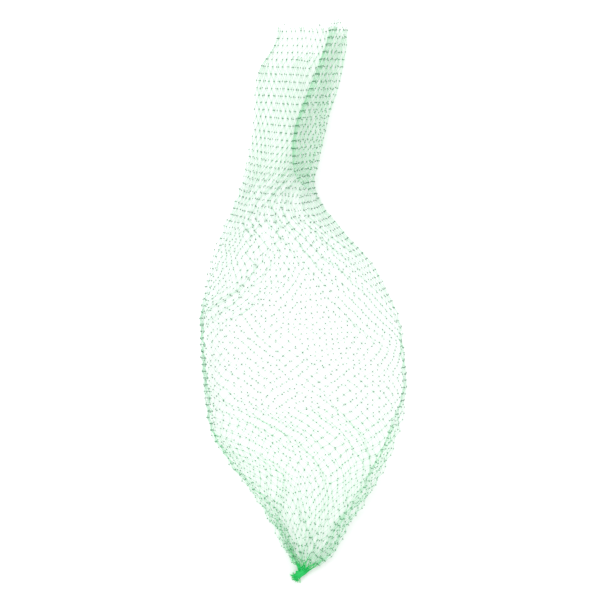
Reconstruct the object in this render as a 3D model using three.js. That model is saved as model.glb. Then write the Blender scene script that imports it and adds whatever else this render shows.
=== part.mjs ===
// A net bag of extruded diamond mesh, lying flat: an open mouth, a long neck folded
// over along its right side, a wide belly, and a foot gathered into a fused lump.
// Millimetres. +X is across the bag, +Y runs from the foot to the mouth, +Z is up
// from the surface the bag lies on. The origin is the middle of the bag's footprint.

import * as THREE from 'three';

// One layer of netting stands as a skin of this thickness.
const SKIN = 1.4;
// Clearance between neighbouring solids.
const GAP = 0.3;
// Sides of every cross-section.
const SIDES = 32;
// Largest distance between two cross-sections along the bag.
const SECTION_STEP = 11;
// Share of a section's height at which it is widest. The rest of the outline is an
// ellipse, cut off flat where it would pass below the surface that the bag lies on.
const WIDEST_AT = 0.42;

// Where one zone of the tube ends and the next begins, along Y.
const STRAND_END = 225.4;
const MOUTH_END = 220;
const RIM = 191;
const NECK_END = 98;
const SHOULDER_END = 8;
const BELLY_END = -92;
const FOOT_END = -206;
const WELD_END = -219;
const TAIL_END = -225.7;

// The tube lying on its side: [y, left edge, right edge, height].
const TUBE = [
  [RIM, -34.5, 30.5, 9.5],
  [174, -38.7, 26.5, 10.5],
  [146, -39.4, 18.8, 11],
  [114, -45.4, 12.9, 12],
  [NECK_END, -48.3, 8.2, 12.8],
  [79, -54.6, 13.6, 16],
  [57, -64.2, 32.5, 21.5],
  [30, -73.2, 54.8, 30],
  [-9, -81.1, 74, 38],
  [-50, -80, 80.4, 40],
  [-79, -76.6, 81.2, 39],
  [-106, -72.6, 75.8, 36.5],
  [-128, -59.2, 66, 32.5],
  [-154, -39.7, 53, 27],
  [-180, -24.6, 35, 20],
  [-194, -17.2, 28, 15.5],
  [FOOT_END, -10.8, 19, 11.5],
];

// The back layer alone, which runs on past the front layer's rim.
const LIP = [
  [MOUTH_END, -19.7, 34, SKIN],
  [205, -23.2, 32.4, SKIN],
  [RIM, -33.2, 30.4, SKIN],
];

// The folded-over strip: [y, left edge, right edge, underside, top].
const FOLD = [
  [STRAND_END, 23.6, 31, 1.7, 6],
  [215, 21, 33.9, 2, 7],
  [203, 16.8, 32.2, 5, 10],
  [190, 11.8, 30.2, 10.6, 15.6],
  [163, 1.6, 22.6, 11.2, 16.6],
  [134, -8.2, 17.6, 11.6, 17.2],
  [112, -8.2, 12, 12.4, 17.6],
  [NECK_END, -5.6, 7.4, 13.2, 17.2],
];

// The gathered end, melted into one lump: [y, left edge, right edge, underside, top].
const WELD = [
  [FOOT_END, -9.4, 16.6, 0, 10.8],
  [-212, -6.6, 9.4, 0, 9.6],
  [-216, -5.9, 6, 0, 8.6],
  [WELD_END, -7.6, 4.6, 0, 8.8],
];

// The stub of cut strands beyond it, fanned out towards the lower left.
const TAIL = [
  [WELD_END, -8.4, 3.4, 0, 8.2],
  [-222, -10.2, -0.4, 0, 7.4],
  [TAIL_END, -9.4, -3, 0.4, 5.6],
];

const NET_COLOUR = 0x9fdcb6;
const WELD_COLOUR = 0x1fb457;

// Interpolates one column of a station list at y, with a smooth curve through them all.
function valueAt(stations, column, y) {
  const last = stations.length - 1;
  let i = stations.findIndex((station) => station[0] <= y);
  i = Math.min(Math.max(i, 1), last);
  const point = (k) => stations[Math.min(Math.max(k, 0), last)];
  const slope = (k) => {
    const [above, below] = [point(k - 1), point(k + 1)];
    return (below[column] - above[column]) / (below[0] - above[0]);
  };
  const [from, to] = [point(i - 1), point(i)];
  const span = to[0] - from[0];
  const t = (y - from[0]) / span;
  const [t2, t3] = [t * t, t * t * t];
  return (
    (2 * t3 - 3 * t2 + 1) * from[column] +
    (t3 - 2 * t2 + t) * span * slope(i - 1) +
    (3 * t2 - 2 * t3) * to[column] +
    (t3 - t2) * span * slope(i)
  );
}

// A closed loop of points at y, from an ellipse pulled in by inset all round.
function loop(y, left, right, low, high, inset) {
  const middle = low + (high - low) * WIDEST_AT;
  const halfWidth = (right - left) / 2 - inset;
  const halfHeight = high - middle - inset;
  const points = [];
  for (let side = 0; side < SIDES; side += 1) {
    const angle = (2 * Math.PI * side) / SIDES;
    const x = (left + right) / 2 + halfWidth * Math.cos(angle);
    const z = Math.max(middle + halfHeight * Math.sin(angle), low + inset);
    points.push(new THREE.Vector3(x, y, z));
  }
  return points;
}

// The places of the cross-sections between two ends, evenly spaced.
function sectionPlaces(start, end) {
  const steps = Math.ceil(Math.abs(start - end) / SECTION_STEP);
  const places = [];
  for (let step = 0; step <= steps; step += 1) {
    places.push(start + ((end - start) * step) / steps);
  }
  return places;
}

// A geometry from loops of equal length, each joined to the next. A ring is closed
// by joining its last loop to its first, and a lobe by a fan across each end loop.
function joinLoops(loops, isRing) {
  const positions = loops.flat().flatMap((point) => [point.x, point.y, point.z]);
  const indices = [];
  const joins = isRing ? loops.length : loops.length - 1;
  for (let k = 0; k < joins; k += 1) {
    const next = (k + 1) % loops.length;
    for (let side = 0; side < SIDES; side += 1) {
      const other = (side + 1) % SIDES;
      const [a, b] = [k * SIDES + side, k * SIDES + other];
      const [c, d] = [next * SIDES + side, next * SIDES + other];
      indices.push(a, b, d, a, d, c);
    }
  }
  if (!isRing) {
    const end = (loops.length - 1) * SIDES;
    for (let side = 1; side < SIDES - 1; side += 1) {
      indices.push(0, side + 1, side);
      indices.push(end, end + side, end + side + 1);
    }
  }
  const geometry = new THREE.BufferGeometry();
  geometry.setAttribute('position', new THREE.Float32BufferAttribute(positions, 3));
  geometry.setIndex(indices);
  geometry.computeVertexNormals();
  return geometry;
}

// A stretch of the tube: a skin with the hollow inside it, open at both ends.
function tubeZone(start, end) {
  const section = (inset) => (y) => {
    const [left, right, height] = [1, 2, 3].map((column) => valueAt(TUBE, column, y));
    return loop(y, left, right, 0, height, inset);
  };
  const places = sectionPlaces(start, end);
  const outside = places.map(section(0));
  const inside = places.map(section(SKIN)).reverse();
  return joinLoops([...outside, ...inside], true);
}

// A stretch with no hollow: an elliptical lobe between its underside and its top.
function lobe(stations, start, end) {
  const loops = sectionPlaces(start, end).map((y) => {
    const [left, right, low, high] = [1, 2, 3, 4].map((column) => valueAt(stations, column, y));
    return loop(y, left, right, low, high, 0);
  });
  return joinLoops(loops, false);
}

// A single layer lying flat, with its outline from its stations.
function flatLayer(stations, start, end) {
  const along = sectionPlaces(start, end);
  const left = along.map((y) => new THREE.Vector2(valueAt(stations, 1, y), y));
  const right = along.map((y) => new THREE.Vector2(valueAt(stations, 2, y), y));
  const outline = new THREE.Shape([...left, ...right.reverse()]);
  return new THREE.ExtrudeGeometry(outline, { depth: SKIN, bevelEnabled: false });
}

const netting = new THREE.MeshStandardMaterial({ color: NET_COLOUR, roughness: 0.35, metalness: 0 });
const melted = new THREE.MeshStandardMaterial({ color: WELD_COLOUR, roughness: 0.3, metalness: 0 });

const bag = new THREE.Group();

function addPart(name, geometry, material) {
  const part = new THREE.Mesh(geometry, material);
  part.name = name;
  bag.add(part);
}

addPart('mouth_lip', flatLayer(LIP, MOUTH_END, RIM + GAP), netting);
addPart('neck_netting', tubeZone(RIM, NECK_END + GAP), netting);
addPart('neck_fold', lobe(FOLD, STRAND_END, NECK_END + GAP), netting);
addPart('shoulder_netting', tubeZone(NECK_END, SHOULDER_END + GAP), netting);
addPart('belly_netting', tubeZone(SHOULDER_END, BELLY_END + GAP), netting);
addPart('foot_netting', tubeZone(BELLY_END, FOOT_END + GAP), netting);
addPart('end_weld', lobe(WELD, FOOT_END, WELD_END + GAP), melted);
addPart('tail_tuft', lobe(TAIL, WELD_END, TAIL_END), melted);

export default bag;
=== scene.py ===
"""A net bag of extruded diamond mesh, lying flat: every strand, joint and cut end, from one lattice.

Metres, +X across the bag, +Y from its foot to its mouth, +Z up from the surface that it lies on.
A curve along the bag is a list of (millimetres along Y, value) points.
"""

import math

import bpy
import numpy as np
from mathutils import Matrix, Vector


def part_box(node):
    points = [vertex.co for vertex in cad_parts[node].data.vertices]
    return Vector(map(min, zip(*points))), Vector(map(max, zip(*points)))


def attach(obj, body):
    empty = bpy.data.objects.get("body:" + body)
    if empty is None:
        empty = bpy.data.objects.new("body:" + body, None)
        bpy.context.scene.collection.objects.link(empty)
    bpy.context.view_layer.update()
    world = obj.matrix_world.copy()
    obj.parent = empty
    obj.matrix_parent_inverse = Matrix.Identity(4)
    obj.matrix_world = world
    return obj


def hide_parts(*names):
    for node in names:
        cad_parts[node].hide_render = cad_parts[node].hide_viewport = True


MM = 0.001

# The netting: two families of strands wind round the tube, one each way, fused where they cross.
AROUND = 56  # diamonds round the tube
COLUMNS = 2 * AROUND  # joints of even rows are on even columns, those of odd rows on odd ones
ROWS = 92  # rows of joints from the foot to past the mouth
FIRST_ROW = 2  # the lowest row above the fused end
BAR = 6.15 * MM  # from one joint to the next along a strand
FAMILIES = (1, -1)  # which way each family winds, the outer one first
FAMILY_OFFSET = 0.09 * MM  # of the outer family outwards, and of the inner one inwards

# The strands' thickness.
STRAND_RADIUS = 0.072 * MM  # halfway between joints
JOINT_RADIUS = 0.6 * MM  # of each strand where it is fused to the other
JOINT_SIZES = (0.72, 1.2)  # the smallest and the largest joint, as shares of that radius
JOINT_REACH = 0.085  # how far a joint's swelling reaches along a bar, as a share of the bar
CUT_RADIUS = 0.25 * MM  # of a strand's cut end
NECK_THICKNESS = 1.1  # of strands that nothing has stretched, against those of the belly
NECK_THICKENS = (95 * MM, 130 * MM)  # where along the bag the one changes to the other

# The strands' meshes.
RINGS_AT = (0.0, 0.07, 0.15, 0.5, 0.85, 0.93)  # where along each bar a strand has a ring of points
SIDES = 5  # points in each ring
LEAD = 0.3  # how straight a strand runs out of a joint, along the tube

# The levels along the bag at which its form is worked out.
FOOT_LEVEL = -219 * MM
MOUTH_LEVEL = 226.5 * MM
STEP = 1.0 * MM
SAMPLES = 480  # points of each section before the columns are spread over it

# The sections. A side is round at 1, and upright the further below 1 it is. A tuck is the depth of the
# gusset between the layers, in millimetres.
TUBE_NODES = ("end_weld", "foot_netting", "belly_netting", "shoulder_netting", "neck_netting")
WIDEST_AT = 0.42  # share of a section's height at which it is widest
MOUTH_HEIGHT = 4.0 * MM  # of the slack layers at the very mouth
RIGHT_SIDE = [(-60, 1), (-30, 0.8), (10, 0.8), (40, 1)]
LEFT_SIDE = [(-135, 1), (-112, 0.3), (-60, 0.25), (-15, 0.3), (5, 1)]
RIGHT_TUCK = [
    (-219, 0), (-206, 5), (-190, 9), (-165, 12), (-142, 12),
    (-98, 11), (-86, 8), (-66, 4.5), (-38, 3), (-10, 0),
]
LEFT_TUCK = [(-219, 0), (-206, 5), (-190, 9), (-165, 11), (-145, 8), (-125, 0)]
TUCKED_SHARE = 0.3  # of half a section's height, over which a gusset runs in

# The neck's right side, folded over on top of it.
TURN_RADIUS = 4.2 * MM  # of the bend
TURN_NEARS = 18 * MM  # before the bend, over which the layers are pressed together
TURN_PRESSED = 0.66  # share of the distance between the layers that is lost there
CREASE_END = 94 * MM  # the level where the rows run round the end of the crease
CREASE_BELOW = 16 * MM  # how far below the folded strip's lower end the fold begins
CREASE_OPENS = 18 * MM  # the stretch over which it grows to the strip's width

# How the columns are spread. They are further apart in the layers than at the edges by this share.
CONTRAST = [(-170, 0), (-120, 0.25), (-60, 0.35), (0, 0.3), (60, 0.1), (100, 0)]
TWIST = [(-200, 0), (-130, 0.9), (-40, 2.4), (40, 1.2), (95, 0)]  # columns that the tube is turned by
# How much they are crowded at a section's two tips, and over how many millimetres.
CROWDED_AT_CREASE = (
    [
        (-200, 0), (-160, 5), (-110, 14), (-40, 10), (-10, 0.5),
        (96, 0), (116, 18), (134, 24), (154, 18), (175, 10), (226, 4),
    ],
    [(-200, 2), (-110, 1.2), (0, 1.2), (84, 1.2), (145, 1.2), (175, 1.8), (226, 3.5)],
)
CROWDED_AT_LEFT = (
    [(-130, 2), (-105, 9), (-15, 9), (5, 0), (180, 0), (192, 5), (226, 5)],
    [(-130, 4), (5, 4), (180, 1.5), (226, 1.5)],
)
TIP_FROM = 0.22  # share of a layer, from its middle, at which the netting starts to be firm
TIP_OVER = 0.12  # the further share over which it gets quite firm, towards the tip

# How the rows run.
WIDEST_LEVEL = -38 * MM  # where the rows are level
LEAN = [(-38, 0.19), (100, 0.19), (170, 0.04), (226, 0.0)]  # of the rows left of the crease
CREASE_ROUND = 6 * MM  # radius with which the rows turn round the end of the crease
SHORTEST_ROW = 0.3 * BAR  # the least height of a row
STEEPEST = 2  # the most that a column's own length counts for, against its length along the bag
LAYER_SHIFT = 0.8  # rows by which the front layer of the belly runs ahead of the back one
SHIFTED = [(-150, 0), (-60, 1), (20, 1), (80, 0)]  # how much of that shift there is
PAST_MOUTH = 0.95  # height of a row past the last level, in bars

# The joints' random shifts: how large they are, and over how many joints they are alike. The whole net
# is uneven and slack, and the foot is tangled too, by so much along the bag.
UNEVEN = ((0.7 * MM, 5), (0.22 * MM, 0.5))
TANGLED = (1.1 * MM, 1.1)
SLACK = ((0.5 * MM, 0.6), (0.7 * MM, 3))
TANGLED_ALONG = [(-215, 1.2), (-190, 1.1), (-160, 0.8), (-120, 0.35), (-80, 0)]
SLACK_ALONG = [(-200, 1.1), (-130, 1.1), (-90, 1), (70, 0.9), (95, 0.5), (115, 0.2), (226, 0.4)]
SLACK_LOST = 0.85  # share of the slack that is lost at the firm tips

# How the lattice is relaxed. A joint is drawn to its place along x, y and z.
RELAX_STEPS = 300
LOOSE_PULL = np.array([0.004, 0.0015, 0.06])
FIRM_PULL = np.array([0.08, 0.03, 0.08])
FIRM_ALONG = [(-225, 1), (-190, 0.3), (-150, 0), (70, 0), (105, 1)]  # firm at both ends of the bag
BAR_PULL = 0.2  # how hard a bar is brought to its length
STRAIGHTEN = 0.04  # how hard a strand is kept straight
MOMENTUM = 0.85  # share of a movement that is kept in the next step
LEFT_WALL = [(-125, 0), (-108, 1), (-12, 1), (5, 0)]  # where the belly's left side is an upright wall
LOWEST_JOINT = 1.5 * JOINT_RADIUS  # height of the lowest joints above the surface

# The mouth's cut, as (share of the way round from the folded edge, millimetres along the bag). The front
# layer comes first and is cut shorter than the back one, and each has loose ends near that edge.
MOUTH_CUT = [
    (0, 220), (0.04, 220), (0.05, 226), (0.065, 226), (0.085, 218), (0.16, 212),
    (0.22, 204), (0.3, 199), (0.46, 190), (0.49, 190), (0.51, 220), (0.7, 221),
    (0.88, 219), (0.9, 225), (0.92, 225), (0.94, 219), (1, 220),
]
MOUTH_FRAY = (-1.5, 4.0)  # millimetres by which single strands are cut shorter or longer

# The fused end, and the stub of cut strands beyond it.
WELD_MIDDLE = np.array([1.5, -216.5, 3.2]) * MM  # where the net's end is drawn in and melted
WELD_LOW = np.array([-5.0, -220.3, 2.6]) * MM
WELD_SPREAD = np.array([2.4, 1.8, 0.9]) * MM
WELD_LOW_SPREAD = 0.55  # of the melted strands' ends, against the spread in the middle
WELD_LEFT_COLUMNS = 14  # either side of the left tip, where melted strands start further up
WELD_ROWS_UP = 4  # how many rows further up that is, at most
HELD_SPREAD = 0.5 * MM  # of the melted strands where they pass the first row
ABOVE_POINTS = 5  # along a melted strand down to the first row
BELOW_POINTS = 10  # from the first row into the lump
# A melted strand's radius in millimetres, from above the first row (-1) to it (0) and into the lump (1).
MELTED_RADII = ((-1, 0, 0.5, 0.8, 1), (0.12, 0.16, 0.24, 1.3, 1.1))
MELTED_SIZES = (0.55, 1.1)  # the thinnest and the thickest strand, as shares of that
TAILS = 28
TAIL_POINTS = 8
TAIL_ANGLES = (158, 285)  # degrees from +X, over which the stub fans out
TAIL_STRAY = 9  # degrees by which single strands leave the fan
TAIL_LENGTHS = (2.5, 6.5)  # millimetres
TAIL_RISE = 0.3  # how steeply a cut strand may run up or down
TAIL_BEND = 0.6 * MM
TAIL_SWELL = ((0, 0.5, 0.85, 1), (1.0, 0.7, 1.0, 0.6))  # along a cut strand, of its radius
TAIL_RADII = (0.25, 0.55)  # millimetres

# Each plastic's colour where it is deep, at the joints, and where it is drawn thin, and its roughness.
STRETCHED_PLASTIC = ((0.022, 0.17, 0.075), (0.56, 0.91, 0.67), 0.35)
GATHERED_PLASTIC = ((0.017, 0.27, 0.095), (0.46, 0.89, 0.58), 0.35)
SLACK_PLASTIC = ((0.026, 0.22, 0.09), (0.47, 0.88, 0.58), 0.35)
MELTED_PLASTIC = ((0.001, 0.54, 0.10), (0.014, 0.76, 0.18), 0.45)
PLASTIC_IOR = 1.5
BLOTCHES = 90  # in a metre, of deeper and paler, glossier and duller plastic
BLOTCH_DEPTH = 0.3  # how much a blotch changes the colour, against how much a joint does
COLOUR_ENDS = (0.1, 0.8)  # where the pale colour ends and the deep one begins
GLOSSIER, DULLER = 0.08, 0.12  # how far the roughness goes down and up
GRAINS = 1800  # in a metre
GRAIN_DEPTH = 0.05 * MM
GRAIN_STRENGTH = 0.35

# The view and the light.
CAMERA_AT = (-3.1 * MM, 1.8 * MM, 1.6)
SENSOR = 36  # millimetres
VIEW_WIDTH = 0.480
VIEW_LEVEL = 0.012  # height above the surface at which the view is that wide
LAMP_AT = (-0.5, 0.6, 1.4)
LAMP_SIZE = 1.2
LAMP_POWER = 9
FLOOR_HALF = 6
FLOOR_DROP = 0.2 * MM

seed = np.random.default_rng(5)

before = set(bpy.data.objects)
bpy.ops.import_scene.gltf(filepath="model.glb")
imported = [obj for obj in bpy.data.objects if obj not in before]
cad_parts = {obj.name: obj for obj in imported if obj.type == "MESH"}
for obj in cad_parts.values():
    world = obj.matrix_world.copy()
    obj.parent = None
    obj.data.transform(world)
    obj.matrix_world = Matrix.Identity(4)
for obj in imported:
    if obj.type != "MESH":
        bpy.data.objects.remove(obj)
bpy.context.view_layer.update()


def ease(t):
    """A smooth step from 0 to 1."""
    t = np.clip(t, 0, 1)
    return t * t * (3 - 2 * t)


def smooth(values, reach):
    """A running mean over that many values either way, which keeps the trend at both ends."""
    kernel = np.hanning(2 * reach + 3)[1:-1]
    kernel /= kernel.sum()
    before = 2 * values[0] - values[reach:0:-1]
    after = 2 * values[-1] - values[-2 : -reach - 2 : -1]
    return np.convolve(np.concatenate([before, values, after]), kernel, "valid")


def eased(levels, points, scale=1.0):
    """A smooth curve over the levels through (millimetres along the bag, value) points."""
    places, values = np.array(points, float).T
    return smooth(np.interp(levels, places * MM, values * scale), reach=8)


def unit(vectors):
    """The same directions, one metre long."""
    return vectors / np.maximum(np.linalg.norm(vectors, axis=-1, keepdims=True), 1e-12)


def sections(node):
    """The CAD node's cross-sections: rows of (level, left, right, low, high)."""
    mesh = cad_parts[node].data
    points = np.array([v.co for v in mesh.vertices])
    rows = []
    for level in np.unique(np.round(points[:, 1], 4)):
        ring = points[np.abs(points[:, 1] - level) < 0.06 * MM]
        low, high = ring.min(0), ring.max(0)
        rows.append([level, low[0], high[0], low[2], high[2]])
    return np.array(rows)


def folded_strip(levels):
    """The level at which the neck's folded strip ends, and where the crease is at each level."""
    strip = sections("neck_fold")
    return strip[0, 0], np.interp(levels, strip[:, 0], strip[:, 1])


def outline(levels):
    """The bag's left and right edges, its height and the width of the folded strip at each level."""
    zones = [sections(node) for node in TUBE_NODES]
    lip = sections("mouth_lip")
    lip[:, 4] = np.linspace(zones[-1][-1, 4], MOUTH_HEIGHT, len(lip))
    tube = np.concatenate(zones + [lip])
    left, right, high = (np.interp(levels, tube[:, 0], tube[:, k]) for k in (1, 2, 4))
    strip_end, crease = folded_strip(levels)
    opened = ease((levels - strip_end + CREASE_BELOW) / CREASE_OPENS)
    folded = np.maximum(right - crease, 0) * opened
    return smooth(left, reach=4), smooth(right, reach=4), smooth(high, reach=6), smooth(folded, reach=3)


def along_layers(levels, cosine, sine, length):
    """How far each point of the sections' loops is from the left edge, along the layers."""
    on_right = cosine > 0
    side = np.where(on_right, eased(levels, RIGHT_SIDE)[:, None], eased(levels, LEFT_SIDE)[:, None])
    right_tuck, left_tuck = (eased(levels, points, MM)[:, None] for points in (RIGHT_TUCK, LEFT_TUCK))
    tuck = np.where(on_right, right_tuck, left_tuck)
    along = length / 2 * (1 + np.sign(cosine) * np.abs(cosine) ** side)
    along = along - tuck * np.maximum(1 - np.abs(sine) / TUCKED_SHARE, 0) * np.sign(cosine)
    lowest, highest = along.min(1, keepdims=True), along.max(1, keepdims=True)
    return (along - lowest) / (highest - lowest) * length


def section_loops(levels):
    """One closed loop of (x, z) points for each level, from the right edge over the front layer."""
    left, right, high, folded = (v[:, None] for v in outline(levels))
    angle = 2 * np.pi * np.arange(SAMPLES)[None] / SAMPLES
    cosine, sine = np.cos(angle), np.sin(angle)
    turned = np.minimum(1, folded / TURN_RADIUS)
    straight = right - left - TURN_RADIUS * turned
    length = straight + np.pi * TURN_RADIUS * turned + np.maximum(folded - TURN_RADIUS, 0)
    along = along_layers(levels, cosine, sine, length)
    # Heights above the surface of the two layers, and of the middle between them.
    rise = (1 - WIDEST_AT) * np.abs(sine)
    upper, lower = high * (WIDEST_AT + rise), high * np.maximum(WIDEST_AT - rise, 0)
    middle = (upper + lower) / 2
    near_turn = ease((along - straight + TURN_NEARS) / TURN_NEARS) * turned
    off = (np.where(sine > 0, upper, lower) - middle) * (1 - TURN_PRESSED * near_turn)
    middle = middle * (1 - near_turn) + WIDEST_AT * high * near_turn
    # Past the straight stretch the layers turn up and over, and run back on top of the neck.
    bend = np.clip((along - straight) / TURN_RADIUS, 0, np.pi)
    back = np.maximum(along - straight - np.pi * TURN_RADIUS, 0)
    radius = TURN_RADIUS - off
    over = along > straight
    x = np.where(over, left + straight + radius * np.sin(bend) - back, left + along)
    z = np.where(over, middle + TURN_RADIUS - radius * np.cos(bend), middle + off)
    return np.stack([x, z], -1), np.broadcast_to(sine, x.shape)


def spread_columns(levels):
    """The columns' (x, y, z, firm) at each level, wide apart in the layers and close at the edges."""
    loops, sines = section_loops(levels)
    closed = np.concatenate([loops, loops[:, :1]], 1)
    lengths = np.linalg.norm(np.diff(closed, axis=1), axis=2)
    half = SAMPLES // 2
    from_right = np.minimum(np.cumsum(lengths, 1), np.cumsum(lengths[:, ::-1], 1)[:, ::-1])
    from_left = np.roll(from_right, half, 1)
    lengths = lengths / (1 + eased(levels, CONTRAST)[:, None] * (2 * sines**2 - 1))
    for distance, crowded in ((from_right, CROWDED_AT_CREASE), (from_left, CROWDED_AT_LEFT)):
        amount, reach = (eased(levels, points)[:, None] for points in crowded)
        lengths = lengths * (1 + amount * np.exp(-((distance / reach / MM) ** 2)))
    counted = np.concatenate([np.zeros((len(loops), 1)), np.cumsum(lengths, 1)], 1)
    twist = eased(levels, TWIST)
    is_front = np.arange(SAMPLES + 1) <= half
    surface = np.empty((len(levels), COLUMNS, 4))
    surface[..., 1] = levels[:, None]
    for k, count in enumerate(counted):
        # The left tip is half-way round, so the front and back layers have as many columns.
        back = 2 - (count[-1] - count) / (count[-1] - count[half])
        share = np.where(is_front, count / count[half], back)
        places = (np.arange(COLUMNS) + twist[k]) / AROUND % 2
        surface[k, :, 0] = np.interp(places, share, closed[k, :, 0])
        surface[k, :, 2] = np.interp(places, share, closed[k, :, 1])
        surface[k, :, 3] = ease((np.abs(places % 1 - 0.5) - TIP_FROM) / TIP_OVER)
    for column in range(COLUMNS):
        for axis in (0, 2):
            surface[:, column, axis] = smooth(surface[:, column, axis], reach=5)
    return surface


def below_crease(levels, surface):
    """How far each point of the surface is from the crease's end, the way the rows run round it."""
    crease = folded_strip(levels)[1][:, None]
    down = (CREASE_END - levels)[:, None]
    across = surface[..., 0] - crease
    radius = CREASE_ROUND + np.maximum(-down, 0)
    round_end = np.sqrt((np.maximum(down, 0) + radius) ** 2 + across**2) - radius + np.minimum(down, 0)
    return np.where(across > 0, round_end, down - across * eased(levels, LEAN)[:, None])


def column_gaps(surface):
    """From each column to the next."""
    return np.linalg.norm(np.roll(surface, -1, 1)[..., :3] - surface[..., :3], axis=2)


def row_height(gaps):
    """From one row to the next, where the columns are that far apart: a wide diamond is a short one."""
    return np.sqrt(np.maximum(BAR**2 - gaps**2, SHORTEST_ROW**2))


def count_up_columns(levels, surface):
    """How many rows lie below each point of the surface, if each column is counted on its own."""
    slope = np.linalg.norm(np.gradient(surface[..., :3], levels, axis=0), axis=2)
    gaps = column_gaps(surface)
    for _ in range(6):
        gaps = (gaps + np.roll(gaps, 1, 1)) / 2
        gaps = (gaps + np.roll(gaps, -1, 1)) / 2
    rate = np.minimum(slope, STEEPEST) / row_height(gaps)
    steps = (rate[1:] + rate[:-1]) / 2 * np.diff(levels)[:, None]
    return np.concatenate([np.zeros((1, COLUMNS)), np.cumsum(steps, 0)])


def count_rows(levels, surface):
    """How many rows lie below each point: level at the widest part, and round the crease's end above it."""
    counted = count_up_columns(levels, surface)
    widest, end = (int(np.argmin(np.abs(levels - level))) for level in (WIDEST_LEVEL, CREASE_END))
    counted[:widest] *= counted[widest].mean() / counted[widest]
    down = below_crease(levels, surface)
    neck_rows = -down / row_height(column_gaps(surface).mean(1))[end]
    between = (down[widest] - down) / (down[widest] - down[end])
    base = counted[widest].mean()
    total = counted[end].mean() - neck_rows[end].mean()
    up_to_end = base + (total + neck_rows[end] - base) * between
    number = np.arange(len(levels))[:, None]
    counted = np.where(number < widest, counted, np.where(number < end, up_to_end, total + neck_rows))
    round_tube = np.sin(2 * np.pi * (np.arange(COLUMNS) / COLUMNS))
    counted = counted + LAYER_SHIFT * eased(levels, SHIFTED)[:, None] * round_tube
    for _ in range(4):
        counted = counted / 2 + (np.roll(counted, 1, 1) + np.roll(counted, -1, 1)) / 4
    for column in range(COLUMNS):
        counted[:, column] = np.maximum.accumulate(smooth(counted[:, column], reach=6))
    return counted


def lay_rows(levels, surface):
    """The lattice (ROWS, COLUMNS) of (x, y, z, firm), with each row where it is counted on each column."""
    counted = count_rows(levels, surface)
    rows = np.arange(ROWS)
    lattice = np.empty((ROWS, COLUMNS, 4))
    for column in range(COLUMNS):
        for axis in range(4):
            lattice[:, column, axis] = np.interp(rows, counted[:, column], surface[:, column, axis])
        lattice[:, column, 1] += np.maximum(rows - counted[-1, column], 0) * PAST_MOUTH * BAR
    return lattice


def wander(size, reach):
    """Random shifts for the lattice, alike over that many joints each way."""
    noise = np.fft.fft2(seed.normal(size=(ROWS, COLUMNS, 3)), axes=(0, 1))
    along = np.fft.fftfreq(ROWS)[:, None, None]
    across = np.fft.fftfreq(COLUMNS)[None, :, None]
    noise *= np.exp(-((np.pi * reach) ** 2) * (along**2 + across**2) / 2)
    noise = np.real(np.fft.ifft2(noise, axes=(0, 1)))
    return noise / noise.std() * size


def neighbours(grid, way):
    """The next and the previous joint along one family's strands; a strand's end is its own neighbour."""
    after, before = np.roll(grid, (-1, -way), (0, 1)), np.roll(grid, (1, way), (0, 1))
    after[-1], before[0] = grid[-1], grid[0]
    return after, before


def relax(lattice):
    """Brings every bar to its length and keeps strands straight, with each joint drawn to its place."""
    home, points = lattice[..., :3], lattice[..., :3].copy()
    firm = eased(lattice[..., 1].mean(1), FIRM_ALONG)[:, None, None]
    firm = np.maximum(firm, lattice[..., 3:])
    pull = LOOSE_PULL * (1 - firm) + FIRM_PULL * firm
    moved = np.zeros_like(points)
    for _ in range(RELAX_STEPS):
        shift = pull * (home - points)
        for way in FAMILIES:
            after, before = neighbours(points, way)
            for other in (after, before):
                bar = other - points
                length = np.linalg.norm(bar, axis=-1, keepdims=True)
                stretch = np.where(length > 1e-9, 1 - BAR / np.maximum(length, 1e-9), 0)
                shift += BAR_PULL * bar * stretch
            shift[1:-1, :, 1] += STRAIGHTEN * ((after + before) / 2 - points)[1:-1, :, 1]
        moved = MOMENTUM * moved + shift
        moved[:FIRST_ROW] = 0
        points = points + moved
        points[..., 2] = np.maximum(points[..., 2], JOINT_RADIUS)
    return points


def level_left_wall(lattice, firm):
    """Sets the joints of each row level with one another in the upright wall along the belly's left side."""
    on_left = np.abs(np.arange(COLUMNS) - AROUND) < AROUND / 2
    along = eased(lattice[..., 1].mean(1), LEFT_WALL)
    share = firm * on_left * along[:, None]
    middle = (share * lattice[..., 1]).sum(1) / np.maximum(share.sum(1), 1e-6)
    lattice[..., 1] += share * (middle[:, None] - lattice[..., 1])


def make_lattice():
    """Every joint's place, (ROWS, COLUMNS, 3). Strands use every other one: even rows, even columns."""
    levels = np.arange(FOOT_LEVEL, MOUTH_LEVEL, STEP)
    laid = lay_rows(levels, spread_columns(levels))
    laid[..., :3] += sum(wander(*shifts) for shifts in UNEVEN)
    laid[..., :3] += wander(*TANGLED) * eased(laid[..., 1].mean(1), TANGLED_ALONG)[:, None, None]
    lattice, firm = relax(laid), laid[..., 3:]
    level_left_wall(lattice, firm[..., 0])
    slack = eased(lattice[..., 1].mean(1), SLACK_ALONG)[:, None, None]
    lattice += sum(wander(*shifts) for shifts in SLACK) * slack * (1 - SLACK_LOST * firm)
    lattice[..., 2] = np.maximum(lattice[..., 2], LOWEST_JOINT)
    return lattice


def directions(lattice):
    """At each joint, the way along the tube and the way out of it."""
    above = np.concatenate([lattice[1:], 2 * lattice[-1:] - lattice[-2:-1]])
    below = np.concatenate([2 * lattice[:1] - lattice[1:2], lattice[:-1]])
    left = np.roll(above, -1, 1) + np.roll(below, -1, 1)
    right = np.roll(above, 1, 1) + np.roll(below, 1, 1)
    along = np.roll(above, 1, 1) + np.roll(above, -1, 1) - np.roll(below, 1, 1) - np.roll(below, -1, 1)
    along = unit(along)
    return along, unit(np.cross(along, left - right))


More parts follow.
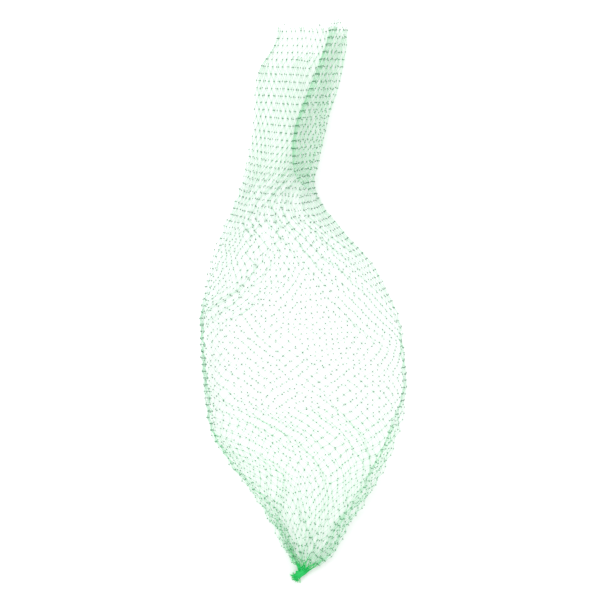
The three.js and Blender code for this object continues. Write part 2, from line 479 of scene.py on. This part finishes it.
def strand_paths(lattice, joint_sizes, way):
    """One family's strands: ring centres, ring directions out of the tube, radii and joints' columns."""
    along, outward = directions(lattice)
    rows = np.arange(ROWS)
    starts = np.arange(0, COLUMNS, 2)
    columns = (starts[:, None] + way * rows[None]) % COLUMNS
    joints, tangents, normals = (a[rows[None], columns] for a in (lattice, along, outward))
    joints = joints + normals * FAMILY_OFFSET * way
    t = np.array(RINGS_AT)[None, None, :, None]
    a, b = joints[:, :-1, None], joints[:, 1:, None]
    reach = np.linalg.norm(b - a, axis=-1, keepdims=True)
    from_a, to_b = tangents[:, :-1, None] * reach * LEAD, tangents[:, 1:, None] * reach * LEAD
    centres = (
        (2 * t**3 - 3 * t**2 + 1) * a
        + (t**3 - 2 * t**2 + t) * from_a
        + (3 * t**2 - 2 * t**3) * b
        + (t**3 - t**2) * to_b
    )
    out = unit((1 - t) * normals[:, :-1, None] + t * normals[:, 1:, None])
    near = np.minimum(t, 1 - t)[..., 0]
    size = JOINT_RADIUS * joint_sizes[rows[None], columns][..., None]
    swollen = np.where(t[..., 0] < 0.5, size[:, :-1], size[:, 1:])
    radii = STRAND_RADIUS + (swollen - STRAND_RADIUS) * np.exp(-((near / JOINT_REACH) ** 2))
    radii = radii * np.interp(centres[..., 1], NECK_THICKENS, (1, NECK_THICKNESS))
    count = len(starts)
    return centres.reshape(count, -1, 3), out.reshape(count, -1, 3), radii.reshape(count, -1), columns


def zone_strands(families, fray, first_row, last_row):
    """The stretches of every strand between two rows, cut off where the mouth is."""
    share, level = np.array(MOUTH_CUT).T
    rings = len(RINGS_AT)
    strands = []
    for centres, out, radii, columns in families:
        for k in range(len(centres)):
            column = np.repeat(columns[k, :-1], rings)
            cut = np.interp(column / COLUMNS, share, level * MM) + fray[k]
            beyond = np.nonzero(centres[k, :, 1] > cut)[0]
            end = beyond[0] if len(beyond) else len(centres[k])
            part = slice(first_row * rings, min(last_row * rings + 1, end))
            if part.stop - part.start > 2:
                thick = radii[k, part].copy()
                if end < len(centres[k]) and part.stop == end:
                    thick[-1] = CUT_RADIUS
                strands.append((centres[k, part], out[k, part], thick))
    return strands


def tube_points(centres, out, radii):
    """The rings of points of one strand, one after the other."""
    turn = 2 * np.pi * np.arange(SIDES) / SIDES
    ahead = unit(np.gradient(centres, axis=0))
    side = unit(np.cross(ahead, out))
    up = np.cross(side, ahead)
    ring = np.cos(turn)[None, :, None] * side[:, None] + np.sin(turn)[None, :, None] * up[:, None]
    return (centres[:, None] + ring * radii[:, None, None]).reshape(-1, 3)


def tube_faces(start, count):
    """The faces of a closed tube of that many rings, whose first point has that number."""
    k, s = np.meshgrid(np.arange(count - 1), np.arange(SIDES), indexing="ij")
    here, beside = start + k * SIDES + s, start + k * SIDES + (s + 1) % SIDES
    faces = np.stack([here, beside, beside + SIDES, here + SIDES], -1).reshape(-1, 4).tolist()
    faces.append(list(range(start + SIDES - 1, start - 1, -1)))
    faces.append(list(range(start + (count - 1) * SIDES, start + count * SIDES)))
    return faces


def tube_mesh(name, strands):
    """One mesh of many closed tubes, each from its ring centres, outward directions and radii."""
    faces, start = [], 0
    for centres, _, _ in strands:
        faces.extend(tube_faces(start, len(centres)))
        start += len(centres) * SIDES
    mesh = bpy.data.meshes.new(name)
    mesh.from_pydata(np.concatenate([tube_points(*strand) for strand in strands]).tolist(), [], faces)
    mesh.shade_smooth()
    # How near each point is to a joint, from the strand's thickness there.
    radii = np.concatenate([radii for _, _, radii in strands])
    joint = np.repeat((radii - STRAND_RADIUS) / (JOINT_RADIUS - STRAND_RADIUS), SIDES)
    mesh.attributes.new("joint", "FLOAT", "POINT").data.foreach_set("value", joint.astype(np.float32))
    piece = bpy.data.objects.new(name, mesh)
    bpy.context.scene.collection.objects.link(piece)
    return piece


def noise_texture(nodes, links, place, scale, detail=2):
    """Noise with that many blotches in a metre."""
    noise = nodes.new("ShaderNodeTexNoise")
    noise.inputs["Scale"].default_value = scale
    noise.inputs["Detail"].default_value = detail
    links.new(place.outputs["Object"], noise.inputs["Vector"])
    return noise


def plastic(name, deep, pale, roughness):
    """Green polyethylene: pale where it is drawn thin, deep at the joints, and a little uneven."""
    material = bpy.data.materials.new(name)
    material.use_nodes = True
    nodes, links = material.node_tree.nodes, material.node_tree.links
    shader = nodes["Principled BSDF"]
    shader.inputs["IOR"].default_value = PLASTIC_IOR
    place = nodes.new("ShaderNodeTexCoord")
    noise = noise_texture(nodes, links, place, BLOTCHES, detail=3)
    thick = nodes.new("ShaderNodeAttribute")
    thick.attribute_name = "joint"
    uneven = nodes.new("ShaderNodeMath")
    uneven.operation = "MULTIPLY_ADD"
    uneven.inputs[1].default_value = BLOTCH_DEPTH
    links.new(noise.outputs["Fac"], uneven.inputs[0])
    links.new(thick.outputs["Fac"], uneven.inputs[2])
    ramp = nodes.new("ShaderNodeValToRGB")
    for stop, position, colour in zip(ramp.color_ramp.elements, COLOUR_ENDS, (pale, deep)):
        stop.position = position
        stop.color = (*colour, 1)
    links.new(uneven.outputs["Value"], ramp.inputs["Fac"])
    links.new(ramp.outputs["Color"], shader.inputs["Base Color"])
    gloss = nodes.new("ShaderNodeMapRange")
    gloss.inputs["To Min"].default_value = roughness - GLOSSIER
    gloss.inputs["To Max"].default_value = roughness + DULLER
    links.new(noise.outputs["Fac"], gloss.inputs["Value"])
    links.new(gloss.outputs["Result"], shader.inputs["Roughness"])
    grain = noise_texture(nodes, links, place, GRAINS)
    bump = nodes.new("ShaderNodeBump")
    bump.inputs["Strength"].default_value = GRAIN_STRENGTH
    bump.inputs["Distance"].default_value = GRAIN_DEPTH
    links.new(grain.outputs["Fac"], bump.inputs["Height"])
    links.new(bump.outputs["Normal"], shader.inputs["Normal"])
    return material


def add_netting(lattice):
    """The netting in four zones, each from the row where the one below it ends."""
    joint_sizes = seed.uniform(*JOINT_SIZES, (ROWS, COLUMNS))
    families = [strand_paths(lattice, joint_sizes, way) for way in FAMILIES]
    fray = seed.uniform(*MOUTH_FRAY, AROUND) * MM
    stretched = plastic("stretched_net_plastic", *STRETCHED_PLASTIC)
    gathered = plastic("gathered_net_plastic", *GATHERED_PLASTIC)
    slack = plastic("slack_net_plastic", *SLACK_PLASTIC)
    zones = [
        ("foot_net", gathered, "laid", ["foot_netting"]),
        ("belly_net", stretched, "laid", ["belly_netting"]),
        ("shoulder_net", stretched, "laid", ["shoulder_netting"]),
        ("neck_net", slack, "folded", ["neck_netting", "neck_fold", "mouth_lip"]),
    ]
    row_levels = lattice[:, :, 1].mean(1)
    first = FIRST_ROW
    for name, material, held, nodes in zones:
        last = int(np.argmin(np.abs(row_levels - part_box(nodes[0])[1][1])))
        if name == "neck_net":
            last = ROWS - 1
        piece = tube_mesh(name, zone_strands(families, fray, first, last))
        piece.data.materials.append(material)
        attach(piece, "root")
        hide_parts(*nodes)
        first = last


def bent(start, middle, end, count):
    """Points along a curve that starts at one point, is drawn to the second and ends at the third."""
    t = np.linspace(0, 1, count)[:, None]
    return (1 - t) ** 2 * start + 2 * t * (1 - t) * middle + t**2 * end


def thick_strand(centres, radii):
    """A strand's centres, kept above the surface that the bag lies on, with its rings upright."""
    out = np.tile([0.0, 0.0, 1.0], (len(centres), 1))
    centres[:, 2] = np.maximum(centres[:, 2], radii)
    return centres, out, radii


def melted_strands(lattice):
    """The last rows of the netting, drawn in and melted into one lump."""
    above_share = np.linspace(-1, 0, ABOVE_POINTS)[:-1]
    share = np.concatenate([above_share, np.linspace(0, 1, BELOW_POINTS)])
    swell = np.interp(share, *MELTED_RADII)
    strands = []
    for column in range(0, COLUMNS, 2):
        left = max(0, 1 - abs(column - COLUMNS / 2) / WELD_LEFT_COLUMNS)
        row = FIRST_ROW + int(seed.uniform(0, 1.6) + WELD_ROWS_UP * left * seed.uniform(0.4, 1))
        held = lattice[FIRST_ROW, column + row % 2] + seed.normal(size=3) * HELD_SPREAD
        middle = WELD_MIDDLE + seed.normal(size=3) * WELD_SPREAD
        end = WELD_LOW + seed.normal(size=3) * WELD_SPREAD * WELD_LOW_SPREAD
        joint = lattice[row, (column + row) % COLUMNS]
        above = bent(joint, (lattice[row, column] + held) / 2, held, ABOVE_POINTS)[:-1]
        path = bent(held, middle, end, BELOW_POINTS)
        if row > FIRST_ROW:
            path = np.concatenate([above, path])
        strands.append(thick_strand(path, swell[-len(path) :] * seed.uniform(*MELTED_SIZES) * MM))
    return strands


def tail_strands():
    """The cut ends below the melted lump, fanned out to the lower left."""
    swell = np.interp(np.linspace(0, 1, TAIL_POINTS), *TAIL_SWELL)
    strands = []
    for k in range(TAILS):
        start = WELD_LOW + seed.normal(size=3) * WELD_SPREAD * 0.5
        turn = math.radians(np.interp(k, (0, TAILS - 1), TAIL_ANGLES) + seed.normal() * TAIL_STRAY)
        reach = seed.uniform(*TAIL_LENGTHS) * MM
        way = np.array([math.cos(turn), math.sin(turn), seed.uniform(-TAIL_RISE, TAIL_RISE)])
        end = WELD_LOW + way * reach
        middle = (start + end) / 2 + seed.normal(size=3) * TAIL_BEND
        centres = bent(start, middle, end, TAIL_POINTS)
        strands.append(thick_strand(centres, swell * seed.uniform(*TAIL_RADII) * MM))
    return strands


def add_fused_end(lattice):
    """The melted lump and the stub of cut strands beyond it."""
    melted = plastic("melted_plastic", *MELTED_PLASTIC)
    for name, node, strands in (
        ("fused_end", "end_weld", melted_strands(lattice)),
        ("cut_tail", "tail_tuft", tail_strands()),
    ):
        piece = tube_mesh(name, strands)
        piece.data.materials.append(melted)
        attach(piece, "root")
        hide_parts(node)


def add_camera():
    """Straight above, with a long lens, +Y up in the picture."""
    data = bpy.data.cameras.new("camera")
    camera = bpy.data.objects.new("camera", data)
    bpy.context.scene.collection.objects.link(camera)
    camera.location = CAMERA_AT
    data.sensor_width = SENSOR
    data.lens = SENSOR * (CAMERA_AT[2] - VIEW_LEVEL) / VIEW_WIDTH
    data.clip_end = 20
    bpy.context.scene.camera = camera


def add_light():
    """A white surround and one wide, weak lamp from the upper left."""
    world = bpy.data.worlds.new("studio")
    world.use_nodes = True
    world.node_tree.nodes["Background"].inputs["Color"].default_value = (1, 1, 1, 1)
    world.node_tree.nodes["Background"].inputs["Strength"].default_value = 1.0
    bpy.context.scene.world = world
    lamp = bpy.data.lights.new("softbox", "AREA")
    lamp.shape = "DISK"
    lamp.size = LAMP_SIZE
    lamp.energy = LAMP_POWER
    light = bpy.data.objects.new("softbox", lamp)
    light.location = LAMP_AT
    light.rotation_euler = (-Vector(LAMP_AT)).to_track_quat("-Z", "Y").to_euler()
    bpy.context.scene.collection.objects.link(light)


def add_floor():
    """A plain pale floor, just clear of the lowest strands."""
    corners = [(x * FLOOR_HALF, y * FLOOR_HALF, 0) for x, y in ((-1, -1), (1, -1), (1, 1), (-1, 1))]
    mesh = bpy.data.meshes.new("floor")
    mesh.from_pydata(corners, [], [(0, 1, 2, 3)])
    floor = bpy.data.objects.new("floor", mesh)
    floor.location.z = -FLOOR_DROP
    bpy.context.scene.collection.objects.link(floor)
    material = bpy.data.materials.new("floor")
    material.use_nodes = True
    shader = material.node_tree.nodes["Principled BSDF"]
    shader.inputs["Base Color"].default_value = (0.95, 0.95, 0.95, 1)
    shader.inputs["Roughness"].default_value = 0.9
    mesh.materials.append(material)


lattice = make_lattice()
add_netting(lattice)
add_fused_end(lattice)
add_camera()
add_light()
add_floor()
bpy.context.scene.view_settings.view_transform = "Standard"
